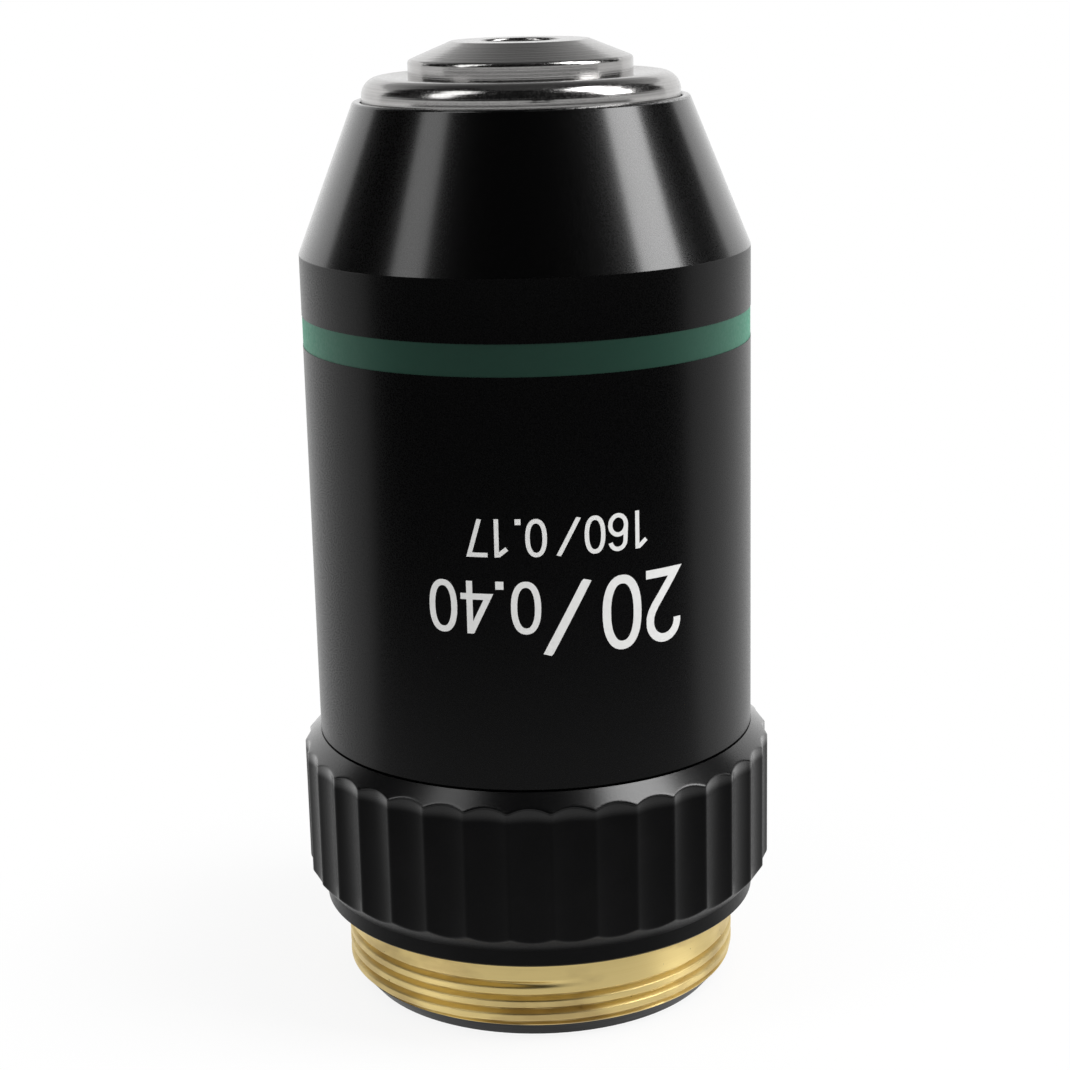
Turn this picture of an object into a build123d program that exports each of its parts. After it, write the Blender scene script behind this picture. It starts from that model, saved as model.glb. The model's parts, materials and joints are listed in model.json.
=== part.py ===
from build123d import *
import math
import os

# A spring-loaded microscope objective, 20 x 0.40, for a 160 mm tube.
# All sizes are in millimetres. The axis is Z, the nose points up, and z = 0 is the seating shoulder.
# The front of the photograph's view is towards -Y.

# Mounting thread and its bevelled black end
THREAD_R = 10.13
THREAD_LENGTH = 3.7
THREAD_BEVEL = 0.23
MOUNT_WALL = 1.4
NECK_STEP = 0.43
SEAT_RELIEF = 0.07
END_HEIGHT = 0.8
END_BEVEL = 0.67
BAFFLE_WALL = 1.4
BAFFLE_LEAD_IN = 0.4
BAFFLE_DEPTH = 2.5

# Seating shoulder and grip ring
SHOULDER_WIDTH = 1.07
COLLAR_HEIGHT = 0.85
GRIP_LENGTH = 9.07
GRIP_STAND_OUT = 0.87
GRIP_LOWER_BEVEL = 1.0
GRIP_UPPER_BEVEL = 0.82
FLUTE_COUNT = 36
FLUTE_CUTTER_R = 2.9
FLUTE_PHASE = 2.9
SEAT_HEIGHT = 3.2
RING_EDGE = 0.1

# Outer sleeve
BODY_LENGTH = 40.95
SLEEVE_WALL = 1.6
CONE_LENGTH = 7.3
RIM_WALL = 0.36
RIM_ROUNDING = 0.45
MOUTH_ROUNDING = 0.3
MOUTH_LENGTH = 6.95
STOP_WIDTH = 1.7
SPIGOT_STEP = 0.28
JOINT_BEVEL = 0.12

# Colour band
BAND_WIDTH = 1.53
BAND_BELOW_CONE = 2.97
BAND_DEPTH = 0.14
BAND_RECESS = 0.02

# Bright nose
NOSE_FLANGE_RISE = 1.15
NOSE_EDGE_R = 0.9
NOSE_DISH = 0.2
FLANGE_WIDTH = 2.3
TIP_SHOULDER_RISE = 1.89
TIP_RISE = 2.75
TIP_FLAT_WIDTH = 1.5
TIP_SHOULDER_EDGE_R = 0.2
TIP_EDGE_R = 0.15
HOLE_EDGE_R = 0.12
TIP_SIDE_WALL = 1.0
TIP_END_WALL = 0.8
CAP_TOP_WALL = 1.1
CAP_WALL = 0.8
CAP_SKIRT = 3.5

# Lens barrel, guide and spring
BARREL_WALL = 1.0
BARREL_TAIL = 0.6
GUIDE_LENGTH = 3.9
SHIM_THICKNESS = 0.15
PIN_R = 0.6
PIN_STAND_OUT = 0.55
PIN_SEAT_DEPTH = 1.6
SPRING_WIRE = 0.7
SPRING_WIRE_FLATS = 8
SPRING_TURNS = 7
RETAINER_HEIGHT = 2.0
RETAINER_WIDTH = 2.2
RETAINER_INSET = 1.2

# Lens stack, from the nose to the rear
FRONT_RECESS = 0.15
FRONT_LIP = 0.1
FRONT_LENS_R = 1.5
FRONT_LENS_THICKNESS = 1.7
FRONT_LENS_CURVE = 2.6
BOSS_WALL = 0.35
FRONT_CELL_LENGTH = 2.5
FRONT_SPACER_LENGTH = 1.9
SPACER_WALL = 1.0
MIDDLE_CELL_WALL = 2.18
MIDDLE_LENS_DEPTH = 1.36
REAR_SPACER_LENGTH = 8.1
REAR_CELL_WALL = 1.18
REAR_LENS_DEPTH = 1.0
FLINT_CENTRE = 0.9
CROWN_EDGE = 0.6
CELL_LIP = 0.3
CELL_LIP_WIDTH = 0.4
STOP_THICKNESS = 0.3
STOP_STEP = 1.4
CLAMP_HEIGHT = 1.5
CLAMP_WIDTH = 1.1

# Spanner slots
SLOT_WIDTH = 1.0
SLOT_DEPTH = 0.7
SLOT_CUTTER_REACH = 1.5

# Clearances
RUNNING_FIT = 0.08
GUIDE_FIT = 0.06
PIN_FIT = 0.05
KEYWAY_DEPTH_FIT = 0.1
SCREWED_FIT = 0.02
CEMENT = 0.01
STOP_GAP = 0.02
BOSS_GAP = 0.05
CELL_TOP_GAP = 0.15
LENS_LEAD_IN = 0.2

# Radii and heights that follow
COLLAR_R = THREAD_R + SHOULDER_WIDTH
CREST_R = COLLAR_R + GRIP_STAND_OUT
SLEEVE_R = COLLAR_R - SCREWED_FIT
BORE_R = SLEEVE_R - SLEEVE_WALL
SPIGOT_R = SLEEVE_R - SPIGOT_STEP
MOUNT_BORE_R = THREAD_R - MOUNT_WALL
NECK_R = THREAD_R - NECK_STEP
CONE_START_Z = BODY_LENGTH - CONE_LENGTH
MOUTH_R = BORE_R - STOP_WIDTH
NOSE_R = MOUTH_R - RUNNING_FIT
RIM_R = MOUTH_R + RIM_WALL
STOP_Z = BODY_LENGTH - MOUTH_LENGTH
TIP_Z = BODY_LENGTH + TIP_RISE
FLANGE_TOP_Z = BODY_LENGTH + NOSE_FLANGE_RISE
CAP_STEP_Z = FLANGE_TOP_Z - CAP_TOP_WALL
SKIRT_END_Z = CAP_STEP_Z - CAP_SKIRT
BARREL_R = NOSE_R - CAP_WALL
BARREL_BORE_R = BARREL_R - BARREL_WALL
CELL_R = BARREL_BORE_R - SCREWED_FIT
GUIDE_R = BORE_R - GUIDE_FIT
GUIDE_TOP_Z = STOP_Z - SHIM_THICKNESS - STOP_GAP
GUIDE_END_Z = GUIDE_TOP_Z - GUIDE_LENGTH
PIN_Z = (GUIDE_TOP_Z + GUIDE_END_Z) / 2
RETAINER_Z = GRIP_LENGTH + RETAINER_INSET
RETAINER_TOP_Z = RETAINER_Z + RETAINER_HEIGHT
MIDDLE_LENS_R = CELL_R - MIDDLE_CELL_WALL
REAR_LENS_R = CELL_R - REAR_CELL_WALL
MIDDLE_LENS_CURVE = (MIDDLE_LENS_R**2 + MIDDLE_LENS_DEPTH**2) / (2 * MIDDLE_LENS_DEPTH)
REAR_LENS_CURVE = (REAR_LENS_R**2 + REAR_LENS_DEPTH**2) / (2 * REAR_LENS_DEPTH)
TIP_R = NOSE_R - FLANGE_WIDTH
TIP_BORE_R = TIP_R - TIP_SIDE_WALL
CEILING_Z = TIP_Z - TIP_END_WALL
BOSS_R = FRONT_LENS_R + BOSS_WALL
FRONT_HOLE_R = BOSS_R + BOSS_GAP
TIP_FLAT_R = FRONT_HOLE_R + TIP_FLAT_WIDTH
BOSS_TOP_Z = TIP_Z - FRONT_RECESS


def turned(*points):
    """Solid turned about Z from a closed outline of (radius, z) corners."""
    return revolve(Plane.XZ * make_face(Polyline(*points, close=True)), Axis.Z)


def ring(inner_r, outer_r, low_z, high_z):
    """Plain ring between two radii and two heights."""
    return turned((inner_r, low_z), (outer_r, low_z), (outer_r, high_z), (inner_r, high_z))


def sag(radius, curve_r):
    """Height of a spherical cap of the given rim radius."""
    return curve_r - math.sqrt(curve_r**2 - radius**2)


def spanner_slots(ring_solid, outer_r, low_z):
    """Cuts two slots for a pin spanner across the lower face."""
    cutter = Box(2 * SLOT_CUTTER_REACH * outer_r, SLOT_WIDTH, 2 * SLOT_DEPTH)
    return ring_solid - Pos(0, 0, low_z) * cutter


def rounded(solid, radius, z, edge_r):
    """Rounds the circular edges that lie at one height and radius."""
    edges = [
        edge
        for edge in solid.edges().filter_by(GeomType.CIRCLE)
        if abs(edge.radius - radius) < 0.001 and abs(edge.center().Z - z) < 0.001
    ]
    return fillet(edges, edge_r)


def make_thread_mount():
    """Brass tube with the thread's outside and a neck that is screwed into the grip ring."""
    return turned(
        (MOUNT_BORE_R, -THREAD_LENGTH),
        (THREAD_R - THREAD_BEVEL, -THREAD_LENGTH),
        (THREAD_R, THREAD_BEVEL - THREAD_LENGTH),
        (THREAD_R, 0),
        (NECK_R, 0),
        (NECK_R, SEAT_HEIGHT),
        (MOUNT_BORE_R, SEAT_HEIGHT),
    )


def make_rear_baffle():
    """Black ring screwed into the thread's end, with the bevelled rim that the objective stands on."""
    top_r = THREAD_R - THREAD_BEVEL
    inner_r = MOUNT_BORE_R - BAFFLE_WALL
    low_z = -THREAD_LENGTH - END_HEIGHT
    top_z = BAFFLE_DEPTH - THREAD_LENGTH
    return turned(
        (inner_r + BAFFLE_LEAD_IN, low_z),
        (top_r - END_BEVEL, low_z),
        (top_r, -THREAD_LENGTH),
        (MOUNT_BORE_R - SCREWED_FIT, -THREAD_LENGTH),
        (MOUNT_BORE_R - SCREWED_FIT, top_z),
        (inner_r, top_z),
        (inner_r, low_z + BAFFLE_LEAD_IN),
    )


def make_grip_ring():
    """Black ring with two bevels and scalloped flutes that run out on them."""
    bore_r = NECK_R + SCREWED_FIT
    relief_r = THREAD_R + SEAT_RELIEF
    blank = turned(
        (bore_r, relief_r - bore_r),
        (relief_r, 0),
        (COLLAR_R - RING_EDGE, 0),
        (COLLAR_R, RING_EDGE),
        (COLLAR_R, COLLAR_HEIGHT),
        (CREST_R, COLLAR_HEIGHT + GRIP_LOWER_BEVEL),
        (CREST_R, GRIP_LENGTH - GRIP_UPPER_BEVEL),
        (COLLAR_R, GRIP_LENGTH),
        (SPIGOT_R + SCREWED_FIT, GRIP_LENGTH),
        (SPIGOT_R + SCREWED_FIT, SEAT_HEIGHT),
        (bore_r, SEAT_HEIGHT),
    )
    half_pitch = math.pi / FLUTE_COUNT
    half_chord = CREST_R * math.sin(half_pitch)
    cutter_centre_r = CREST_R * math.cos(half_pitch) + math.sqrt(FLUTE_CUTTER_R**2 - half_chord**2)
    first_angle = FLUTE_PHASE - 90 + math.degrees(half_pitch)
    spots = PolarLocations(cutter_centre_r, FLUTE_COUNT, start_angle=first_angle)
    cutter = Cylinder(FLUTE_CUTTER_R, GRIP_LENGTH)
    cutters = [Pos(0, 0, GRIP_LENGTH / 2) * spot * cutter for spot in spots]
    return blank - cutters


def make_outer_sleeve():
    """Black barrel and cone in one turned piece, with its stop shoulder, keyway and band groove."""
    band_top_z = CONE_START_Z - BAND_BELOW_CONE
    band_z = band_top_z - BAND_WIDTH
    band_r = SLEEVE_R - BAND_DEPTH
    sleeve = turned(
        (BORE_R, SEAT_HEIGHT),
        (SPIGOT_R, SEAT_HEIGHT),
        (SPIGOT_R, GRIP_LENGTH),
        (SLEEVE_R - JOINT_BEVEL, GRIP_LENGTH),
        (SLEEVE_R, GRIP_LENGTH + JOINT_BEVEL),
        (SLEEVE_R, band_z),
        (band_r, band_z),
        (band_r, band_top_z),
        (SLEEVE_R, band_top_z),
        (SLEEVE_R, CONE_START_Z),
        (RIM_R, BODY_LENGTH),
        (MOUTH_R, BODY_LENGTH),
        (MOUTH_R, STOP_Z),
        (BORE_R, STOP_Z),
    )
    sleeve = rounded(sleeve, RIM_R, BODY_LENGTH, RIM_WALL * RIM_ROUNDING)
    sleeve = rounded(sleeve, MOUTH_R, BODY_LENGTH, RIM_WALL * MOUTH_ROUNDING)
    slot_top_z = PIN_Z + PIN_R + PIN_FIT
    slot_r = GUIDE_R + PIN_STAND_OUT + KEYWAY_DEPTH_FIT
    slot_length = slot_top_z - SEAT_HEIGHT
    keyway = Box(2 * (PIN_R + PIN_FIT), slot_r, slot_length, align=(Align.CENTER, Align.MIN, Align.MIN))
    return sleeve - Pos(0, 0, SEAT_HEIGHT) * keyway


def make_colour_band():
    """Enamel that fills the groove of the sleeve."""
    top_z = CONE_START_Z - BAND_BELOW_CONE
    return ring(SLEEVE_R - BAND_DEPTH, SLEEVE_R - BAND_RECESS, top_z - BAND_WIDTH, top_z)


def make_parfocal_shim():
    """Thin ring under the sleeve's inner shoulder."""
    return ring(MOUTH_R + RUNNING_FIT, BORE_R - SCREWED_FIT, STOP_Z - SHIM_THICKNESS, STOP_Z)


def make_spring_retainer():
    """Ring screwed into the sleeve from the rear, which the spring stands on."""
    outer_r = BORE_R - SCREWED_FIT
    blank = ring(outer_r - RETAINER_WIDTH, outer_r, RETAINER_Z, RETAINER_TOP_Z)
    return spanner_slots(blank, outer_r, RETAINER_Z)


def make_spring():
    """Coil spring between the retainer and the barrel's guide flange, with its wire in eight flats."""
    mean_r = (BARREL_R + BORE_R) / 2
    low_z = RETAINER_TOP_Z + SPRING_WIRE / 2
    height = GUIDE_END_Z - SPRING_WIRE / 2 - low_z
    coil = Pos(0, 0, low_z) * Helix(height / SPRING_TURNS, height, mean_r)
    section = Plane(coil @ 0, z_dir=coil % 0) * RegularPolygon(SPRING_WIRE / 2, SPRING_WIRE_FLATS)
    return sweep(section, coil, is_frenet=True)


def make_lens_barrel():
    """Tube that carries the glass, with the guide flange and the seat of the nose cap."""
    barrel = turned(
        (BARREL_BORE_R, stack_z["tail"]),
        (BARREL_R, stack_z["tail"]),
        (BARREL_R, GUIDE_END_Z),
        (GUIDE_R, GUIDE_END_Z),
        (GUIDE_R, GUIDE_TOP_Z),
        (NOSE_R, GUIDE_TOP_Z),
        (NOSE_R, SKIRT_END_Z - BOSS_GAP),
        (BARREL_R - SCREWED_FIT, SKIRT_END_Z - BOSS_GAP),
        (BARREL_R - SCREWED_FIT, CAP_STEP_Z),
        (BARREL_BORE_R, CAP_STEP_Z),
    )
    seat = Cylinder(PIN_R + CEMENT, PIN_SEAT_DEPTH, align=(Align.CENTER, Align.CENTER, Align.MAX))
    return barrel - Pos(0, GUIDE_R, PIN_Z) * Rot(-90, 0, 0) * seat


def make_guide_pin():
    """Radial pin in the guide flange, at the side away from the viewer."""
    length = PIN_SEAT_DEPTH + PIN_STAND_OUT
    pin = Cylinder(PIN_R, length, align=(Align.CENTER, Align.CENTER, Align.MAX))
    return Pos(0, GUIDE_R + PIN_STAND_OUT, PIN_Z) * Rot(-90, 0, 0) * pin


def make_nose_cap():
    """Bright plated cap, with its rounded flange, tip cylinder, shallow cone and front hole."""
    edge_z = FLANGE_TOP_Z - NOSE_EDGE_R
    shoulder_z = BODY_LENGTH + TIP_SHOULDER_RISE
    outline = Polyline(
        (NOSE_R - NOSE_EDGE_R, FLANGE_TOP_Z),
        (TIP_R, FLANGE_TOP_Z - NOSE_DISH),
        (TIP_R, shoulder_z),
        (TIP_FLAT_R, TIP_Z),
        (FRONT_HOLE_R, TIP_Z),
        (FRONT_HOLE_R, CEILING_Z),
        (TIP_BORE_R, CEILING_Z),
        (TIP_BORE_R, CAP_STEP_Z),
        (BARREL_R, CAP_STEP_Z),
        (BARREL_R, SKIRT_END_Z),
        (NOSE_R, SKIRT_END_Z),
        (NOSE_R, edge_z),
    )
    corner = CenterArc((NOSE_R - NOSE_EDGE_R, edge_z), NOSE_EDGE_R, 0, 90)
    cap = revolve(Plane.XZ * make_face([outline, corner]), Axis.Z)
    cap = rounded(cap, TIP_R, shoulder_z, TIP_SHOULDER_EDGE_R)
    cap = rounded(cap, TIP_FLAT_R, TIP_Z, TIP_EDGE_R)
    return rounded(cap, FRONT_HOLE_R, TIP_Z, HOLE_EDGE_R)


def make_front_cell():
    """Cell of the front lens, clamped under the nose cap, with a boss in the front hole."""
    boss_foot_z = CEILING_Z - CELL_TOP_GAP
    bore_r = FRONT_LENS_R + CEMENT
    lens_z = BOSS_TOP_Z - FRONT_LIP
    lens_edge_z = lens_z - FRONT_LENS_THICKNESS + sag(FRONT_LENS_R, FRONT_LENS_CURVE)
    low_z = stack_z["front_cell"]
    return turned(
        (FRONT_LENS_R - FRONT_LIP, BOSS_TOP_Z),
        (BOSS_R, BOSS_TOP_Z),
        (BOSS_R, boss_foot_z),
        (TIP_BORE_R - BOSS_GAP, boss_foot_z),
        (TIP_BORE_R - BOSS_GAP, CAP_STEP_Z),
        (CELL_R, CAP_STEP_Z),
        (CELL_R, low_z),
        (CELL_R - SPACER_WALL, low_z),
        (bore_r, lens_edge_z - LENS_LEAD_IN),
        (bore_r, lens_z),
        (FRONT_LENS_R - FRONT_LIP, lens_z),
    )


def make_front_lens():
    """Plano-convex lens with its flat face towards the specimen."""
    top_z = BOSS_TOP_Z - FRONT_LIP
    back_z = top_z - FRONT_LENS_THICKNESS
    edge_z = back_z + sag(FRONT_LENS_R, FRONT_LENS_CURVE)
    half_r = FRONT_LENS_R / 2
    outline = Polyline((0, back_z), (0, top_z), (FRONT_LENS_R, top_z), (FRONT_LENS_R, edge_z))
    mid_point = (half_r, back_z + sag(half_r, FRONT_LENS_CURVE))
    back = ThreePointArc((FRONT_LENS_R, edge_z), mid_point, (0, back_z))
    return revolve(Plane.XZ * make_face([outline, back]), Axis.Z)


def make_cell(lens_r, high_z, low_z):
    """Cell with a bore for one doublet and a lip at its front."""
    return turned(
        (lens_r - CELL_LIP_WIDTH, high_z),
        (CELL_R, high_z),
        (CELL_R, low_z),
        (lens_r + CEMENT, low_z),
        (lens_r + CEMENT, high_z - CELL_LIP),
        (lens_r - CELL_LIP_WIDTH, high_z - CELL_LIP),
    )


def make_flint(lens_r, curve_r, face_z):
    """Flat in front and hollow behind."""
    hollow_z = face_z - FLINT_CENTRE
    rim_z = hollow_z - sag(lens_r, curve_r)
    half_r = lens_r / 2
    outline = Polyline((0, hollow_z), (0, face_z), (lens_r, face_z), (lens_r, rim_z))
    mid_point = (half_r, hollow_z - sag(half_r, curve_r))
    hollow = ThreePointArc((lens_r, rim_z), mid_point, (0, hollow_z))
    return revolve(Plane.XZ * make_face([outline, hollow]), Axis.Z)


def make_crown(lens_r, curve_r, face_z):
    """Equal curves on both sides, cemented into the flint's hollow."""
    top_z = face_z - FLINT_CENTRE - CEMENT
    cap_height = sag(lens_r, curve_r)
    rim_z = top_z - cap_height
    back_rim_z = rim_z - CROWN_EDGE
    back_z = back_rim_z - cap_height
    half_r = lens_r / 2
    half_sag = sag(half_r, curve_r)
    front = ThreePointArc((0, top_z), (half_r, top_z - half_sag), (lens_r, rim_z))
    edge = Line((lens_r, rim_z), (lens_r, back_rim_z))
    back = ThreePointArc((lens_r, back_rim_z), (half_r, back_z + half_sag), (0, back_z))
    axis_line = Line((0, back_z), (0, top_z))
    return revolve(Plane.XZ * make_face([front, edge, back, axis_line]), Axis.Z)


def make_lens_retainer():
    """Slotted ring that clamps the stack from the rear."""
    blank = ring(CELL_R - CLAMP_WIDTH, CELL_R, stack_z["clamp"], stack_z["stop"])
    return spanner_slots(blank, CELL_R, stack_z["clamp"])


def doublet_cell_length(lens_r, curve_r):
    """Length of a cell that takes the lip, both lenses and a small margin."""
    glass = FLINT_CENTRE + CEMENT + 2 * sag(lens_r, curve_r) + CROWN_EDGE
    return CELL_LIP + glass + CELL_LIP


def stack_heights():
    """Lower face of each piece in the barrel, worked out from the nose down."""
    steps = [
        ("front_cell", FRONT_CELL_LENGTH),
        ("front_spacer", FRONT_SPACER_LENGTH),
        ("middle_cell", doublet_cell_length(MIDDLE_LENS_R, MIDDLE_LENS_CURVE)),
        ("rear_spacer", REAR_SPACER_LENGTH),
        ("rear_cell", doublet_cell_length(REAR_LENS_R, REAR_LENS_CURVE)),
        ("stop", STOP_THICKNESS),
        ("clamp", CLAMP_HEIGHT),
        ("tail", BARREL_TAIL),
    ]
    heights = {}
    z = CAP_STEP_Z
    for name, length in steps:
        z -= length
        heights[name] = z
    return heights


stack_z = stack_heights()
middle_face_z = stack_z["front_spacer"] - CELL_LIP
rear_face_z = stack_z["rear_spacer"] - CELL_LIP

nodes = {
    "thread_mount": make_thread_mount(),
    "rear_baffle": make_rear_baffle(),
    "grip_ring": make_grip_ring(),
    "outer_sleeve": make_outer_sleeve(),
    "colour_band": make_colour_band(),
    "parfocal_shim": make_parfocal_shim(),
    "spring_retainer": make_spring_retainer(),
    "spring": make_spring(),
    "lens_barrel": make_lens_barrel(),
    "guide_pin": make_guide_pin(),
    "nose_cap": make_nose_cap(),
    "front_cell": make_front_cell(),
    "front_lens": make_front_lens(),
    "front_spacer": ring(CELL_R - SPACER_WALL, CELL_R, stack_z["front_spacer"], stack_z["front_cell"]),
    "middle_cell": make_cell(MIDDLE_LENS_R, stack_z["front_spacer"], stack_z["middle_cell"]),
    "middle_flint_lens": make_flint(MIDDLE_LENS_R, MIDDLE_LENS_CURVE, middle_face_z),
    "middle_crown_lens": make_crown(MIDDLE_LENS_R, MIDDLE_LENS_CURVE, middle_face_z),
    "rear_spacer": ring(CELL_R - SPACER_WALL, CELL_R, stack_z["rear_spacer"], stack_z["middle_cell"]),
    "rear_cell": make_cell(REAR_LENS_R, stack_z["rear_spacer"], stack_z["rear_cell"]),
    "rear_flint_lens": make_flint(REAR_LENS_R, REAR_LENS_CURVE, rear_face_z),
    "rear_crown_lens": make_crown(REAR_LENS_R, REAR_LENS_CURVE, rear_face_z),
    "aperture_stop": ring(REAR_LENS_R - STOP_STEP, CELL_R, stack_z["stop"], stack_z["rear_cell"]),
    "lens_retainer": make_lens_retainer(),
}

os.makedirs("parts", exist_ok=True)
for node_name, solid in nodes.items():
    export_step(solid, f"parts/{node_name}.step")
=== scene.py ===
import json
import math

import bmesh
import bpy
from mathutils import Matrix, Vector


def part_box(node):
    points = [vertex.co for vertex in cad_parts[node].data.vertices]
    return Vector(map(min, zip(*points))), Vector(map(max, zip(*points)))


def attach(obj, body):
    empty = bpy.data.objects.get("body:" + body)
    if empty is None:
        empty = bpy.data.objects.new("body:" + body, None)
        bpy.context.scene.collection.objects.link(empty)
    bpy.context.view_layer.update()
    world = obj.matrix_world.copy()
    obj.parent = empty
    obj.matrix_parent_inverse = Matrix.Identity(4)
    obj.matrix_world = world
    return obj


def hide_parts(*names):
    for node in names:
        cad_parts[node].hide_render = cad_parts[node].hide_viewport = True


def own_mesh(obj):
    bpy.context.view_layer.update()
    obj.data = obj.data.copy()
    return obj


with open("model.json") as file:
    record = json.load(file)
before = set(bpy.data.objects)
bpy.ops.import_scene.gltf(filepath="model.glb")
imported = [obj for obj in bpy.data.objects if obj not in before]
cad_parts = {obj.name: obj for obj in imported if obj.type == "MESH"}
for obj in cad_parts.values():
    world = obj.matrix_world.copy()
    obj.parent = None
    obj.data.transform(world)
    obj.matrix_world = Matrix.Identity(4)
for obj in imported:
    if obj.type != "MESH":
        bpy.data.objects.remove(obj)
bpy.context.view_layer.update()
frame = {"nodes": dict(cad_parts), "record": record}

# The looks of a spring-loaded microscope objective that stands on its threaded end, nose up.
# Lengths are in millimetres up to the helpers, which turn them into metres.
# The axis is Z, z = 0 is the seating shoulder, and angles run from -Y, the photograph's side, towards +X.
MM = 0.001

# Camera, from the rings in the photograph
PHOTO_PIXELS = 1070
CAMERA_PLACE = (0, -115.956, 49.040)
FOCAL_PIXELS = 2338.97
CAMERA_PITCH_DOWN = 0.25493
CAMERA_YAW = 0.001519
CAMERA_ROLL = 0.023445
SENSOR_WIDTH = 36


def node_box(node):
    """Lowest and highest corner of a node, in millimetres."""
    low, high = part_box(node)
    return low / MM, high / MM


# Sizes read from the frame
MOUNT_LOW, MOUNT_HIGH = node_box("thread_mount")
FLOOR_Z = node_box("rear_baffle")[0].z
SLEEVE_LOW, SLEEVE_HIGH = node_box("outer_sleeve")
THREAD_R = MOUNT_HIGH.x
SLEEVE_R = SLEEVE_HIGH.x
SEAT_Z = SLEEVE_LOW.z
GRIP_TOP_Z = node_box("grip_ring")[1].z
THREAD_LOW_Z = MOUNT_LOW.z

# Thread: 36 turns per inch, cut up to a smooth land under the shoulder
THREAD_PITCH = 25.4 / 36
GROOVE_DEPTH = 0.3
GROOVE_SHARE = 0.62
GROOVE_FRONT_Z = -1.43
GROOVE_START_TURN = 0.04
GROOVE_FULL_TURN = -0.055
GROOVE_COUNT = 5
THREAD_BEVEL = 0.23
NECK_STEP = 0.43
MOUNT_WALL = 1.4
THREAD_COLUMNS = 360
THREAD_ROW = 0.03
SHARP_ANGLE = 35

# Grip ring
SHOULDER_WIDTH = 1.07
RING_EDGE = 0.1
COLLAR_R = THREAD_R + SHOULDER_WIDTH
COLLAR_HEIGHT = 0.85
CREST_RISE = 0.87
CREST_R = COLLAR_R + CREST_RISE
LOWER_BEVEL = 1.0
UPPER_BEVEL = 0.82
FLUTE_COUNT = 36
FLUTE_CUTTER_R = 2.9
FLUTE_PHASE = 2.9
SEAT_RELIEF = 0.07
SPIGOT_BORE_R = 10.92
NECK_CLEARANCE = 0.02
BEVEL_END_GAP = 0.01
BEVEL_ROWS_REACH = 1.2
CREST_SOFTNESS = 0.1
BEVEL_SOFTNESS = 0.06
COLUMNS_PER_FLUTE = 24
BEVEL_ROW = 0.05
MIDDLE_ROW = 0.6

# Numbers on the barrel: each figure with the place of its left edge round the barrel, and its height
FIGURE_WIDTH = 0.55
FIGURE_STROKE = 0.115
SLASH_WIDTH = 0.64
DOT_SIZE = 0.15
GLYPH_STEP = 0.06
ARC_STEP = 9
MITRE_LIMIT = 0.45
FIGURE_PROUD = 0.012
FIGURE_SUNK = 0.03
UPPER_BASE_Z = 22.5
LOWER_BASE_Z = 19.5
SMALL = 1.83
MEDIUM = 2.57
LARGE = 3.65
UPPER_LINE = [("1", 5.62, SMALL), ("6", 4.64, SMALL), ("0", 3.49, SMALL), ("/", 2.31, SMALL)]
UPPER_LINE += [("0", 0.71, SMALL), (".", -0.5, SMALL), ("1", -1.15, SMALL), ("7", -2.08, SMALL)]
LOWER_LINE = [("2", 7.58, LARGE), ("0", 5.3, LARGE), ("/", 2.77, LARGE), ("0", 0.37, MEDIUM)]
LOWER_LINE += [(".", -1.37, MEDIUM), ("4", -1.97, MEDIUM), ("0", -3.63, MEDIUM)]
FIGURE_LINES = [(UPPER_LINE, UPPER_BASE_Z), (LOWER_LINE, LOWER_BASE_Z)]
FIGURE_TOP_R = SLEEVE_R + FIGURE_PROUD
FIGURE_FOOT_R = SLEEVE_R - FIGURE_SUNK

# Heights where the finish changes, and where the painted light on the sleeve's foot fades in
# Below the first height the sleeve's colour grows paler down to the second: painted light of the floor's
# reflection
PAINTED_FOOT_LIGHT_HEIGHTS = (36, 8)
CONE_COAT_HEIGHTS = (33.62, 33.68)
BEVEL_COAT_HEIGHTS = (7.7, 8.2)

# Fill light and floor
WORLD_FILL = 0.6
FLOOR_HALF = 3000
FLOOR_SHADOW_R = 14
FLOOR_WHITE_R = 34
FLOOR_NEAR_WHITE = 0.87

# Lamps: name, azimuth, elevation, width and height in degrees, radiance
LAMP_DISTANCE = 400
LAMP_AIM_Z = 25
LAMPS = [("right_softbox", 76, 43, 23, 46, 7.4), ("left_softbox", -65, 44, 17, 40, 2.3)]

# Screens that only mirror reflections see: azimuths and elevations covered, distance,
# the heights between which the glow changes, and the glow below and above them
SCREEN_STEP = 3
SCREENS = [
    ("dark_room", (-120, 125), (-3, 75), 600, (100, 190), (0.66, 0.006)),
    ("dim_ceiling", (-180, 180), (28, 90), 640, (330, 600), (0.45, 0.06)),
]

# Mat that only mirror reflections see, with bright spots: name, azimuth, distance, radius, glow
MAT_SPREAD = 84
MAT_NEAR_R = 12
MAT_FAR_R = 590
MAT_LIFT = 0.05
MAT_FADE = (20, 90)
MAT_GLOW = (0.72, 0.02)
GLINT_STEP = 15
GLINTS = [("left_glint", -42, 15.2, 2.6, 1.5), ("right_glint", 58, 14.7, 2.8, 1.7)]


def link_object(name, mesh):
    """Puts a mesh in the scene under a name."""
    piece = bpy.data.objects.new(name, mesh)
    bpy.context.scene.collection.objects.link(piece)
    return piece


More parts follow.
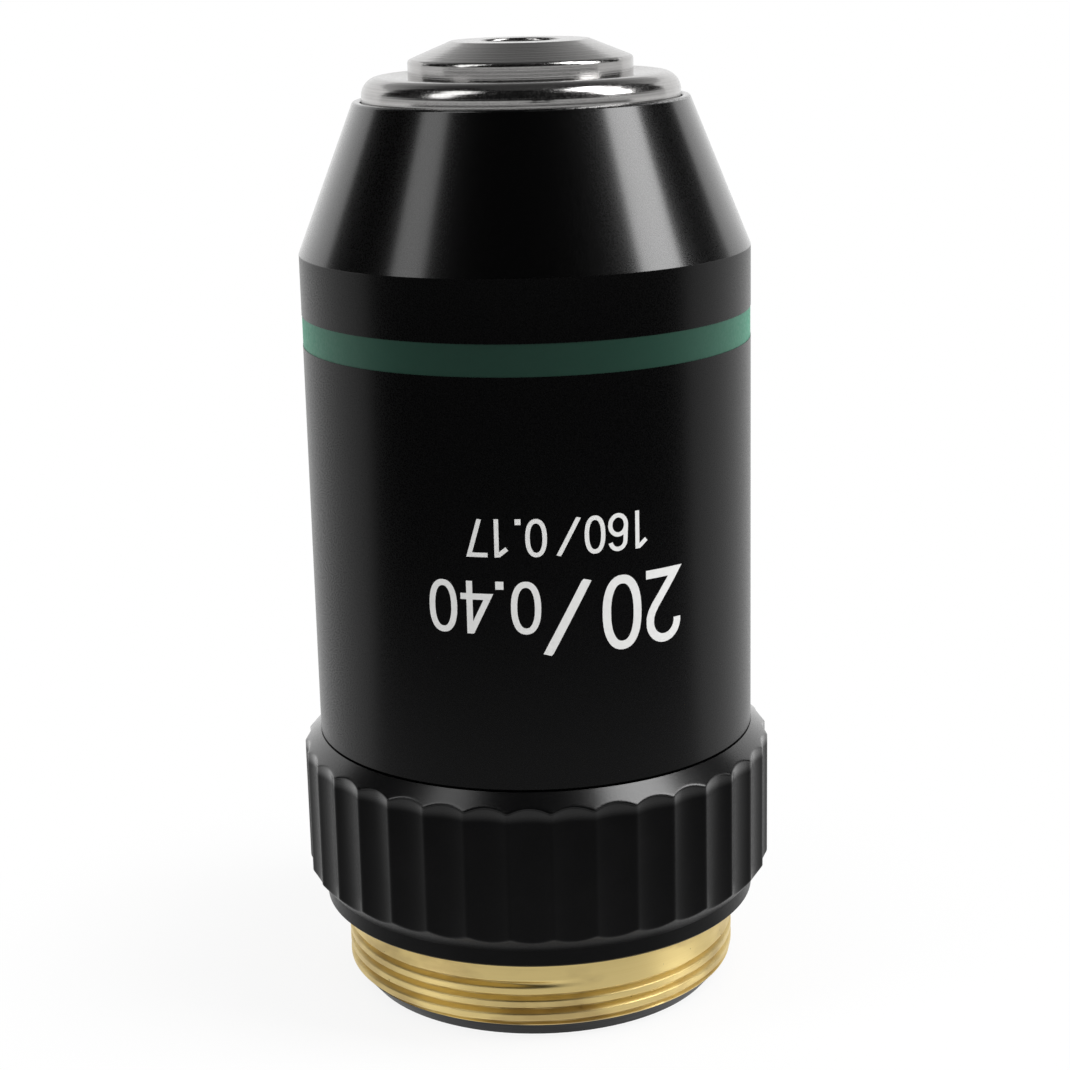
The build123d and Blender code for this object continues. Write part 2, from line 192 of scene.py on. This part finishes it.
def sweep_round(name, rows, columns):
    """Closed mesh from rows of radius functions and heights, each row a ring round the axis."""
    mesh = bmesh.new()
    rings = []
    for radius_at, z_at in rows:
        ring = []
        for column in range(columns):
            angle = 2 * math.pi * column / columns
            radius = radius_at(angle) * MM
            place = (radius * math.sin(angle), -radius * math.cos(angle), z_at(angle) * MM)
            ring.append(mesh.verts.new(place))
        rings.append(ring)
    for index, ring in enumerate(rings):
        after = rings[(index + 1) % len(rings)]
        for column in range(columns):
            beside = (column + 1) % columns
            mesh.faces.new((ring[column], ring[beside], after[beside], after[column]))
    bmesh.ops.recalc_face_normals(mesh, faces=mesh.faces)
    data = bpy.data.meshes.new(name)
    mesh.to_mesh(data)
    mesh.free()
    data.shade_smooth()
    data.set_sharp_from_angle(angle=math.radians(SHARP_ANGLE))
    return link_object(name, data)


def flat_row(radius, z):
    """Row of one radius and one height."""
    return (lambda angle: radius), (lambda angle: z)


def spaced(start, end, step):
    """Values from start to end in equal steps of about the given size, both ends in."""
    count = max(1, round(abs(end - start) / step))
    return [start + (end - start) * i / count for i in range(count + 1)]


def soft_min(a, b, softness):
    """The smaller of two values, with the corner between them rounded."""
    overlap = max(softness - abs(a - b), 0) / softness
    return min(a, b) - overlap * overlap * softness / 4


def smooth_step(low, high, value):
    """0 below low and 1 above high, with a smooth rise between them."""
    share = min(1, max(0, (value - low) / (high - low)))
    return share * share * (3 - 2 * share)


def groove_depth(turn, offset):
    """Depth of the thread groove at a place along the helix and a distance from its middle."""
    fade = 1 - smooth_step(GROOVE_FULL_TURN, GROOVE_START_TURN, turn)
    half_width = GROOVE_SHARE * THREAD_PITCH / 2
    if abs(offset) >= half_width or fade == 0:
        return 0
    return GROOVE_DEPTH * fade * 0.5 * (1 + math.cos(math.pi * offset / half_width))


def thread_radius(angle, z):
    """Outside radius of the thread at an angle and a height."""
    turn_at_front = (angle + math.pi) % (2 * math.pi) / (2 * math.pi) - 0.5
    depth = 0
    for lap in range(GROOVE_COUNT + 1):
        turn = turn_at_front - lap
        depth += groove_depth(turn, z - GROOVE_FRONT_Z - THREAD_PITCH * turn)
    bevel = THREAD_R - THREAD_BEVEL + (z - THREAD_LOW_Z)
    return soft_min(THREAD_R - depth, bevel, BEVEL_SOFTNESS)


def make_thread():
    """Brass mount with the helical groove, its smooth land and its neck."""
    bore_r = THREAD_R - MOUNT_WALL
    neck_r = THREAD_R - NECK_STEP
    rows = [flat_row(bore_r, THREAD_LOW_Z)]
    for z in spaced(THREAD_LOW_Z, 0, THREAD_ROW):
        rows.append((lambda angle, z=z: thread_radius(angle, z), lambda angle, z=z: z))
    rows += [flat_row(neck_r, 0), flat_row(neck_r, SEAT_Z), flat_row(bore_r, SEAT_Z)]
    piece = sweep_round("mounting_thread", rows, THREAD_COLUMNS)
    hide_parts("thread_mount")
    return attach(piece, "housing")


def flute_radius(angle):
    """Outside radius of the fluted ring between its bevels."""
    half_pitch = math.pi / FLUTE_COUNT
    half_chord = CREST_R * math.sin(half_pitch)
    cutter_r = CREST_R * math.cos(half_pitch) + math.sqrt(FLUTE_CUTTER_R**2 - half_chord**2)
    from_crest = (angle - math.radians(FLUTE_PHASE)) % (2 * half_pitch)
    walls = []
    for offset in (from_crest - half_pitch, from_crest + half_pitch, from_crest - 3 * half_pitch):
        reach = FLUTE_CUTTER_R**2 - (cutter_r * math.sin(offset)) ** 2
        walls.append(cutter_r * math.cos(offset) - math.sqrt(reach) if reach > 0 else cutter_r)
    return soft_min(soft_min(walls[0], walls[1], CREST_SOFTNESS), walls[2], CREST_SOFTNESS)


def grip_radius(angle, z):
    """Outside radius of the grip ring at an angle and a height above its collar."""
    slope_low = (CREST_R - COLLAR_R) / LOWER_BEVEL
    slope_high = (CREST_R - COLLAR_R) / UPPER_BEVEL
    lower = COLLAR_R + (z - COLLAR_HEIGHT) * slope_low
    upper = COLLAR_R + (GRIP_TOP_Z - z) * slope_high
    bevels = soft_min(lower, upper, BEVEL_SOFTNESS)
    return soft_min(bevels, flute_radius(angle), BEVEL_SOFTNESS)


def make_grip():
    """Grip ring with soft crests and bevels."""
    bore_r = THREAD_R - NECK_STEP + NECK_CLEARANCE
    relief_r = THREAD_R + SEAT_RELIEF
    low_bevel_end = COLLAR_HEIGHT + BEVEL_ROWS_REACH * LOWER_BEVEL
    high_bevel_start = GRIP_TOP_Z - BEVEL_ROWS_REACH * UPPER_BEVEL
    heights = spaced(COLLAR_HEIGHT + BEVEL_END_GAP, low_bevel_end, BEVEL_ROW)[:-1]
    heights += spaced(low_bevel_end, high_bevel_start, MIDDLE_ROW)[:-1]
    heights += spaced(high_bevel_start, GRIP_TOP_Z - BEVEL_END_GAP, BEVEL_ROW)
    rows = [
        flat_row(bore_r, relief_r - bore_r),
        flat_row(relief_r, 0),
        flat_row(COLLAR_R - RING_EDGE, 0),
        flat_row(COLLAR_R, RING_EDGE),
        flat_row(COLLAR_R, COLLAR_HEIGHT),
    ]
    for z in heights:
        rows.append((lambda angle, z=z: grip_radius(angle, z), lambda angle, z=z: z))
    rows += [
        flat_row(COLLAR_R, GRIP_TOP_Z),
        flat_row(SPIGOT_BORE_R, GRIP_TOP_Z),
        flat_row(SPIGOT_BORE_R, SEAT_Z),
        flat_row(bore_r, SEAT_Z),
    ]
    piece = sweep_round("fluted_grip", rows, FLUTE_COUNT * COLUMNS_PER_FLUTE)
    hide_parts("grip_ring")
    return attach(piece, "housing")


def set_camera():
    """Camera at the photograph's place, aim and focal length."""
    data = bpy.data.cameras.new("camera")
    data.sensor_width = SENSOR_WIDTH
    data.lens = FOCAL_PIXELS / PHOTO_PIXELS * SENSOR_WIDTH
    data.clip_start = 0.005
    data.clip_end = 10
    camera = bpy.data.objects.new("camera", data)
    bpy.context.scene.collection.objects.link(camera)
    level = math.cos(CAMERA_PITCH_DOWN)
    forward = Vector((
        math.sin(CAMERA_YAW) * level,
        math.cos(CAMERA_YAW) * level,
        -math.sin(CAMERA_PITCH_DOWN),
    ))
    right = forward.cross(Vector((0, 0, 1))).normalized()
    down = forward.cross(right)
    image_right = right * math.cos(CAMERA_ROLL) + down * math.sin(CAMERA_ROLL)
    image_up = right * math.sin(CAMERA_ROLL) - down * math.cos(CAMERA_ROLL)
    turn = Matrix((image_right, image_up, -forward)).transposed().to_4x4()
    camera.matrix_world = Matrix.Translation(Vector(CAMERA_PLACE) * MM) @ turn
    bpy.context.scene.camera = camera


def subdivided(points, closed):
    """Points of a line with more of them on its long stretches."""
    ends = points + points[:1] if closed else points
    dense = []
    for (x0, y0), (x1, y1) in zip(ends, ends[1:]):
        pieces = max(1, round(math.hypot(x1 - x0, y1 - y0) / GLYPH_STEP))
        dense += [(x0 + (x1 - x0) * i / pieces, y0 + (y1 - y0) * i / pieces) for i in range(pieces)]
    return dense if closed else dense + [points[-1]]


def ellipse_arc(centre_x, centre_y, half_wide, half_high, start, end, fullness=2.0):
    """Points on an ellipse or fuller oval between two angles in degrees."""
    count = max(2, round(abs(end - start) / ARC_STEP))
    points = []
    for i in range(count + 1):
        angle = math.radians(start + (end - start) * i / count)
        x = math.copysign(abs(math.cos(angle)) ** (2 / fullness), math.cos(angle))
        y = math.copysign(abs(math.sin(angle)) ** (2 / fullness), math.sin(angle))
        points.append((centre_x + half_wide * x, centre_y + half_high * y))
    return points


def figure_strokes(figure):
    """Centre lines of one figure, for a height of 1, each with whether it is closed and its width."""
    w, t = FIGURE_WIDTH, FIGURE_STROKE
    a = (w - t) / 2
    middle = w / 2
    if figure == "0":
        return [(ellipse_arc(middle, 0.5, a, (1 - t) / 2, 0, 360, 2.3)[:-1], True, t)]
    if figure == "1":
        return [([(0.01, 0.775), (0.27, 0.985), (0.27, 0)], False, t)]
    if figure == "2":
        hook = ellipse_arc(middle, 0.715, a, 1 - 0.715 - t / 2, 185, 0)
        bend = [(middle + a * 0.985, 0.64), (middle + a * 0.86, 0.56), (middle + a * 0.6, 0.47)]
        return [(hook + bend + [(0.085, t / 2), (w, t / 2)], False, t)]
    if figure == "4":
        post = [(0.405, 0), (0.405, 1)]
        bar_and_slope = [(0.575, 0.293), (0.05, 0.293), (0.385, 0.97)]
        return [(post, False, t), (bar_and_slope, False, t)]
    if figure == "6":
        top = ellipse_arc(middle + 0.01, 0.72, a - 0.01, 1 - 0.72 - t / 2, 12, 180)
        bowl = ellipse_arc(middle, 0.31, a, 0.31 - t / 2, 180, 525)
        return [(top + bowl, False, t)]
    if figure == "7":
        return [([(0, 1 - t / 2), (w - 0.07, 1 - t / 2), (0.2, 0)], False, t)]
    if figure == "/":
        return [([(0.05, 0), (SLASH_WIDTH - 0.05, 1)], False, t)]
    return [([(0, DOT_SIZE / 2), (DOT_SIZE, DOT_SIZE / 2)], False, DOT_SIZE)]


def stroke_edges(points, closed, width):
    """Points on both sides of a centre line, mitred at its corners and cut level at the top and foot."""
    sides = []
    for i, (x, y) in enumerate(points):
        before = points[i - 1] if closed or i > 0 else points[i]
        after = points[(i + 1) % len(points)] if closed or i + 1 < len(points) else points[i]
        into = Vector((x - before[0], y - before[1]))
        out = Vector((after[0] - x, after[1] - y))
        into = into.normalized() if into.length else out.normalized()
        out = out.normalized() if out.length else into
        along = (into + out).normalized()
        normal = Vector((-along.y, along.x))
        reach = width / 2 / max(MITRE_LIMIT, normal.dot(Vector((-into.y, into.x))))
        pair = []
        for side in (1, -1):
            edge = Vector((x, y)) + normal * reach * side
            pair.append((edge.x, min(1, max(0, edge.y))))
        sides.append(pair)
    return sides


def make_numbers():
    """White figures on the barrel, which read with the nose down."""
    mesh = bmesh.new()
    for text, base_z in FIGURE_LINES:
        for figure, start_arc, size in text:
            for points, closed, width in figure_strokes(figure):
                sections = []
                for pair in stroke_edges(subdivided(points, closed), closed, width):
                    section = []
                    for radius, order in ((FIGURE_TOP_R, (0, 1)), (FIGURE_FOOT_R, (1, 0))):
                        for side in order:
                            angle = (start_arc - pair[side][0] * size) / SLEEVE_R
                            z = base_z - pair[side][1] * size
                            place = (radius * math.sin(angle), -radius * math.cos(angle), z)
                            section.append(mesh.verts.new([c * MM for c in place]))
                    sections.append(section)
                spans = list(zip(sections, sections[1:]))
                if closed:
                    spans.append((sections[-1], sections[0]))
                else:
                    mesh.faces.new(sections[0])
                    mesh.faces.new(sections[-1][::-1])
                for near, far in spans:
                    for corner in range(4):
                        beside = (corner + 1) % 4
                        mesh.faces.new((near[corner], far[corner], far[beside], near[beside]))
    bmesh.ops.recalc_face_normals(mesh, faces=mesh.faces)
    data = bpy.data.meshes.new("numbers")
    mesh.to_mesh(data)
    mesh.free()
    piece = link_object("numbers", data)
    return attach(piece, "housing")


def make_coil():
    """Spring between its retainer and the lens barrel."""
    coil = link_object("coil_spring", frame["nodes"]["spring"].data.copy())
    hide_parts("spring")
    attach(coil, "housing")
    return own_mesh(coil)


class Shader:
    """Node material with one Principled shader and short calls to feed it."""

    def __init__(self, name):
        self.material = bpy.data.materials.new(name)
        self.material.use_nodes = True
        self.tree = self.material.node_tree
        self.main = self.tree.nodes["Principled BSDF"]
        self.place = self.tree.nodes.new("ShaderNodeTexCoord").outputs["Object"]

    def node(self, kind, **settings):
        """New node with its settings."""
        made = self.tree.nodes.new("ShaderNode" + kind)
        for key, value in settings.items():
            setattr(made, key, value)
        return made

    def feed(self, socket, value):
        """Links an output to a socket, or sets a plain value there."""
        if isinstance(value, bpy.types.NodeSocket):
            self.tree.links.new(value, socket)
        else:
            socket.default_value = value

    def set(self, **values):
        """Sets or links inputs of the shader, with underscores for the spaces in their names."""
        for key, value in values.items():
            self.feed(self.main.inputs[key.replace("_", " ")], value)

    def math(self, operation, a, b=0.0):
        """Arithmetic on one or two values."""
        made = self.node("Math", operation=operation)
        self.feed(made.inputs[0], a)
        self.feed(made.inputs[1], b)
        return made.outputs[0]

    def mapped(self, stretch):
        """Object coordinates in millimetres, stretched along each axis."""
        made = self.node("Mapping")
        self.feed(made.inputs["Vector"], self.place)
        made.inputs["Scale"].default_value = [s / MM for s in stretch]
        return made.outputs["Vector"]

    def noise(self, scale, stretch=(1, 1, 1), detail=3.0, roughness=0.55):
        """Noise from 0 to 1 with about so many features to a millimetre."""
        made = self.node("TexNoise")
        self.feed(made.inputs["Vector"], self.mapped(stretch))
        made.inputs["Scale"].default_value = scale
        made.inputs["Detail"].default_value = detail
        made.inputs["Roughness"].default_value = roughness
        return made.outputs["Fac"]

    def height(self):
        """Height above the shoulder in millimetres."""
        split = self.node("SeparateXYZ")
        self.feed(split.inputs[0], self.place)
        return self.math("DIVIDE", split.outputs["Z"], MM)

    def radius(self):
        """Distance from the axis in millimetres."""
        split = self.node("SeparateXYZ")
        self.feed(split.inputs[0], self.place)
        squares = [self.math("POWER", split.outputs[axis], 2.0) for axis in "XY"]
        return self.math("DIVIDE", self.math("SQRT", self.math("ADD", *squares)), MM)

    def remap(self, value, low, high, to_low, to_high):
        """Smooth change from one value to another while the input goes from low to high."""
        made = self.node("MapRange", interpolation_type="SMOOTHSTEP")
        self.feed(made.inputs["Value"], value)
        for key, number in zip(("From Min", "From Max", "To Min", "To Max"), (low, high, to_low, to_high)):
            made.inputs[key].default_value = number
        return made.outputs["Result"]

    def blend(self, share, first, second):
        """Colour that goes from the first to the second."""
        made = self.node("Mix", data_type="RGBA")
        self.feed(made.inputs["Factor"], share)
        for name, colour in (("A", first), ("B", second)):
            socket = [s for s in made.inputs if s.name == name and s.type == "RGBA"][0]
            self.feed(socket, colour if isinstance(colour, bpy.types.NodeSocket) else (*colour, 1))
        return [s for s in made.outputs if s.type == "RGBA"][0]

    def bump(self, height, strength, distance):
        """Bump of the given height in millimetres on the shader's normal."""
        made = self.node("Bump")
        made.inputs["Strength"].default_value = strength
        made.inputs["Distance"].default_value = distance * MM
        self.feed(made.inputs["Height"], height)
        self.set(Normal=made.outputs["Normal"])
        return made.outputs["Normal"]


def brass_material():
    """Bare turned brass with brown tarnish and small dark specks."""
    s = Shader("bare_brass")
    patches = s.remap(s.noise(0.16, (1, 1, 2.2), 4), 0.4, 0.62, 0, 1)
    clean = s.blend(patches, (0.76, 0.6, 0.26), (0.52, 0.39, 0.17))
    specks = s.remap(s.noise(2.2, (1, 1, 1.4), 2), 0.72, 0.78, 0, 1)
    s.set(Base_Color=s.blend(specks, clean, (0.12, 0.08, 0.04)), Metallic=1.0)
    lines = s.noise(1.0, (0.15, 0.15, 14), 3)
    s.set(Roughness=s.remap(lines, 0.2, 0.8, 0.38, 0.52))
    s.bump(lines, 0.5, 0.012)
    return s.material


def grip_material():
    """Semi-matte black with a fine grain and a glossier upper bevel."""
    s = Shader("grip_black")
    grain = s.noise(9, detail=4)
    worn = s.remap(s.noise(0.5), 0.4, 0.7, 0, 1)
    s.set(Base_Color=s.blend(worn, (0.0007, 0.0007, 0.0009), (0.0013, 0.0012, 0.0015)))
    s.set(Roughness=s.remap(grain, 0.3, 0.7, 0.28, 0.38), IOR=1.2)
    on_bevel = s.remap(s.height(), *BEVEL_COAT_HEIGHTS, 0, 1)
    s.set(Coat_Weight=on_bevel, Coat_Roughness=0.22, Coat_IOR=1.5)
    s.bump(grain, 0.35, 0.01)
    return s.material


def sleeve_material():
    """Satin black, painted paler towards its foot as light reflected from the floor, with a glossy coat on
    the cone.
    """
    s = Shader("sleeve_black")
    grain = s.noise(14, detail=4)
    # Paler colour towards the foot is painted light of the floor's reflection
    painted_foot_light = s.remap(s.height(), *PAINTED_FOOT_LIGHT_HEIGHTS, 0, 1)
    s.set(Base_Color=s.blend(painted_foot_light, (0.0003, 0.0003, 0.0004), (0.0022, 0.0022, 0.0024)))
    s.set(Roughness=s.remap(grain, 0.3, 0.7, 0.22, 0.34), IOR=1.26)
    on_cone = s.remap(s.height(), *CONE_COAT_HEIGHTS, 0, 1)
    s.set(Coat_Weight=on_cone, Coat_Roughness=0.16, Coat_IOR=1.5)
    s.bump(grain, 0.3, 0.006)
    return s.material


def green_material():
    """Dull green enamel."""
    s = Shader("green_enamel")
    clouds = s.noise(1.5, (1, 1, 3))
    s.set(Base_Color=s.blend(clouds, (0.0034, 0.0175, 0.0115), (0.005, 0.022, 0.0148)))
    s.set(Roughness=s.remap(s.noise(6), 0.3, 0.7, 0.36, 0.5), IOR=1.3)
    s.set(Sheen_Weight=1.0, Sheen_Roughness=0.48, Sheen_Tint=(0.13, 0.52, 0.34, 1))
    s.bump(s.noise(7), 0.3, 0.008)
    return s.material


def nickel_material():
    """Satin plating over turning marks that run round the axis."""
    s = Shader("bright_plating")
    lines = s.noise(1.0, (9, 9, 9), 2)
    rings = s.node("TexNoise", noise_dimensions="2D")
    joined = s.node("CombineXYZ")
    s.feed(joined.inputs["X"], s.radius())
    s.feed(joined.inputs["Y"], s.height())
    s.feed(rings.inputs["Vector"], joined.outputs[0])
    rings.inputs["Scale"].default_value = 9
    rings.inputs["Detail"].default_value = 3
    marks = rings.outputs["Fac"]
    s.set(Base_Color=s.blend(marks, (0.4, 0.395, 0.39), (0.54, 0.53, 0.52)), Metallic=1.0)
    s.set(Roughness=s.remap(lines, 0.3, 0.7, 0.13, 0.22))
    s.bump(marks, 0.6, 0.01)
    return s.material


def plain_metal(name, colour, roughness, metallic, ior=1.5):
    """Metal with fine turned lines, for the inner pieces."""
    s = Shader(name)
    lines = s.noise(1.0, (0.3, 0.3, 12), 3)
    darker = [c * 0.8 for c in colour]
    s.set(Base_Color=s.blend(lines, colour, darker), Metallic=metallic, IOR=ior)
    s.set(Roughness=s.remap(lines, 0.25, 0.75, roughness - 0.05, roughness + 0.08))
    s.bump(lines, 0.4, 0.008)
    return s.material


def glass_material(name, tint, coat_tint):
    """Coated glass with a faint coloured reflection."""
    s = Shader(name)
    s.set(Base_Color=s.blend(s.noise(0.4), tint, [c * 0.97 for c in tint]))
    s.set(Roughness=0.02, Transmission_Weight=1.0, IOR=1.52)
    s.set(Coat_Weight=0.6, Coat_Roughness=0.03, Coat_Tint=(*coat_tint, 1))
    return s.material


def white_enamel_material():
    """White filling of the numbers."""
    s = Shader("white_enamel")
    s.set(Base_Color=s.blend(s.noise(5), (0.62, 0.62, 0.61), (0.7, 0.7, 0.69)))
    s.set(Roughness=0.5, IOR=1.4)
    s.bump(s.noise(12), 0.2, 0.005)
    return s.material


def dress(piece, material):
    """Gives a piece one material."""
    piece.data.materials.clear()
    piece.data.materials.append(material)


def seen_directly(tree):
    """1 for rays that see the surroundings straight, in a mirror or through glass, and 0 for soft light."""
    path = tree.nodes.new("ShaderNodeLightPath")
    total = path.outputs["Is Camera Ray"]
    for kind in ("Is Glossy Ray", "Is Transmission Ray"):
        made = tree.nodes.new("ShaderNodeMath")
        made.operation = "MAXIMUM"
        tree.links.new(total, made.inputs[0])
        tree.links.new(path.outputs[kind], made.inputs[1])
        total = made.outputs[0]
    return total


def make_world():
    """White background that gives a weaker, even fill light."""
    world = bpy.data.worlds.new("studio")
    bpy.context.scene.world = world
    world.use_nodes = True
    tree = world.node_tree
    strength = tree.nodes.new("ShaderNodeMapRange")
    tree.links.new(seen_directly(tree), strength.inputs["Value"])
    strength.inputs["To Min"].default_value = WORLD_FILL
    strength.inputs["To Max"].default_value = 1.0
    background = tree.nodes["Background"]
    background.inputs["Color"].default_value = (1, 1, 1, 1)
    tree.links.new(strength.outputs["Result"], background.inputs["Strength"])


def make_floor():
    """Pale floor that keeps the object's shadow and turns into the white background further out."""
    half = FLOOR_HALF * MM
    z = FLOOR_Z * MM
    data = bpy.data.meshes.new("floor")
    corners = [(-half, -half, z), (half, -half, z), (half, half, z), (-half, half, z)]
    data.from_pydata(corners, [], [(0, 1, 2, 3)])
    floor = link_object("floor", data)
    s = Shader("floor")
    s.set(Base_Color=s.blend(s.noise(0.02), (0.93, 0.93, 0.93), (0.95, 0.95, 0.95)))
    s.set(Roughness=0.9, Specular_IOR_Level=0.1)
    white = s.node("Emission")
    white.inputs["Color"].default_value = (1, 1, 1, 1)
    far = s.remap(s.radius(), FLOOR_SHADOW_R, FLOOR_WHITE_R, FLOOR_NEAR_WHITE, 1)
    mixed = s.node("MixShader")
    s.feed(mixed.inputs[0], s.math("MULTIPLY", far, seen_directly(s.tree)))
    s.feed(mixed.inputs[1], s.main.outputs[0])
    s.feed(mixed.inputs[2], white.outputs[0])
    s.feed(s.tree.nodes["Material Output"].inputs["Surface"], mixed.outputs[0])
    floor.data.materials.append(s.material)


def direction(azimuth, elevation):
    """Unit vector away from the object, with azimuth 0 at the photograph's side."""
    a, e = math.radians(azimuth), math.radians(elevation)
    return Vector((math.sin(a) * math.cos(e), -math.cos(a) * math.cos(e), math.sin(e)))


def make_lamp(name, azimuth, elevation, wide, high, radiance):
    """Soft rectangular lamp facing the object, its size given in degrees as the object sees it."""
    width = 2 * LAMP_DISTANCE * math.tan(math.radians(wide / 2)) * MM
    height = 2 * LAMP_DISTANCE * math.tan(math.radians(high / 2)) * MM
    data = bpy.data.lights.new(name, "AREA")
    data.shape = "RECTANGLE"
    data.size = width
    data.size_y = height
    data.energy = radiance * math.pi * width * height
    light = bpy.data.objects.new(name, data)
    bpy.context.scene.collection.objects.link(light)
    back = direction(azimuth, elevation)
    light.location = (Vector((0, 0, LAMP_AIM_Z)) + back * LAMP_DISTANCE) * MM
    light.rotation_mode = "QUATERNION"
    light.rotation_quaternion = back.to_track_quat("Z", "Y")
    light.visible_camera = False


def make_screen(name, azimuths, elevations, distance, heights, glows):
    """Curved screen that only mirror reflections see. Its glow changes with height."""
    data = bpy.data.meshes.new(name)
    across = spaced(*azimuths, SCREEN_STEP)
    up = spaced(*elevations, SCREEN_STEP)
    centre = Vector((0, 0, LAMP_AIM_Z))
    points = [(centre + direction(a, e) * distance) * MM for e in up for a in across]
    wide = len(across)
    faces = [
        (row * wide + i, row * wide + i + 1, (row + 1) * wide + i + 1, (row + 1) * wide + i)
        for row in range(len(up) - 1)
        for i in range(wide - 1)
    ]
    data.from_pydata(points, [], faces)
    hide_but_mirrored(link_object(name, data), lambda s: s.remap(s.height(), *heights, *glows))


def hide_but_mirrored(screen, glow):
    """Makes a stage piece glow as the glow function says, for mirror reflections only."""
    s = Shader(screen.name)
    light = s.node("Emission")
    s.feed(light.inputs["Strength"], glow(s))
    s.feed(s.tree.nodes["Material Output"].inputs["Surface"], light.outputs[0])
    screen.data.materials.append(s.material)
    screen.visible_camera = False
    screen.visible_diffuse = False
    screen.visible_shadow = False
    screen.visible_transmission = False


def make_mat():
    """Dull mat on the floor in front of the object, darker further out, for mirror reflections only."""
    data = bpy.data.meshes.new("mat")
    across = spaced(-MAT_SPREAD, MAT_SPREAD, SCREEN_STEP)
    z = FLOOR_Z + MAT_LIFT
    points = []
    for radius in (MAT_NEAR_R, MAT_FAR_R):
        points += [(direction(a, 0) * radius + Vector((0, 0, z))) * MM for a in across]
    wide = len(across)
    data.from_pydata(points, [], [(i, i + 1, wide + i + 1, wide + i) for i in range(wide - 1)])
    hide_but_mirrored(link_object("mat", data), lambda s: s.remap(s.radius(), *MAT_FADE, *MAT_GLOW))


def make_glint(name, azimuth, radius, size, glow):
    """Bright round spot on the mat beside the brass, which gives the mount a light patch."""
    data = bpy.data.meshes.new(name)
    centre = direction(azimuth, 0) * radius + Vector((0, 0, FLOOR_Z + 2 * MAT_LIFT))
    points = [(centre + direction(a, 0) * size) * MM for a in range(0, 360, GLINT_STEP)]
    data.from_pydata(points, [], [range(len(points))])
    hide_but_mirrored(link_object(name, data), lambda s: glow)


# Materials by slot, for the pieces made here and for the nodes that keep their own shape
slots = {
    "white_enamel": white_enamel_material(),
    "bare_brass": brass_material(),
    "grip_black": grip_material(),
    "black_anodised": plain_metal("black_anodised", (0.0015, 0.0015, 0.0018), 0.36, 0.0, 1.16),
    "blackened_brass": plain_metal("blackened_brass", (0.02, 0.019, 0.017), 0.4, 0.3),
    "spring_steel": plain_metal("spring_steel", (0.55, 0.56, 0.58), 0.25, 1.0),
    "plain_brass": plain_metal("plain_brass", (0.75, 0.6, 0.32), 0.3, 1.0),
    "sleeve_black": sleeve_material(),
    "green_enamel": green_material(),
    "bright_plating": nickel_material(),
    "front_glass": glass_material("front_glass", (0.9, 0.95, 0.96), (0.5, 0.35, 0.8)),
    "crown_glass": glass_material("crown_glass", (0.95, 0.97, 0.95), (0.5, 0.7, 0.6)),
    "flint_glass": glass_material("flint_glass", (0.96, 0.95, 0.9), (0.6, 0.5, 0.7)),
}
for part in frame["record"]["subparts"]:
    dress(frame["nodes"][part["node"]], slots[part["material_slot"]])
dress(make_thread(), slots["bare_brass"])
dress(make_grip(), slots["grip_black"])
dress(make_numbers(), slots["white_enamel"])
dress(make_coil(), slots["spring_steel"])

bpy.context.scene.view_settings.view_transform = "Standard"
make_world()
make_floor()
for lamp in LAMPS:
    make_lamp(*lamp)
for screen in SCREENS:
    make_screen(*screen)
make_mat()
for glint in GLINTS:
    make_glint(*glint)
set_camera()
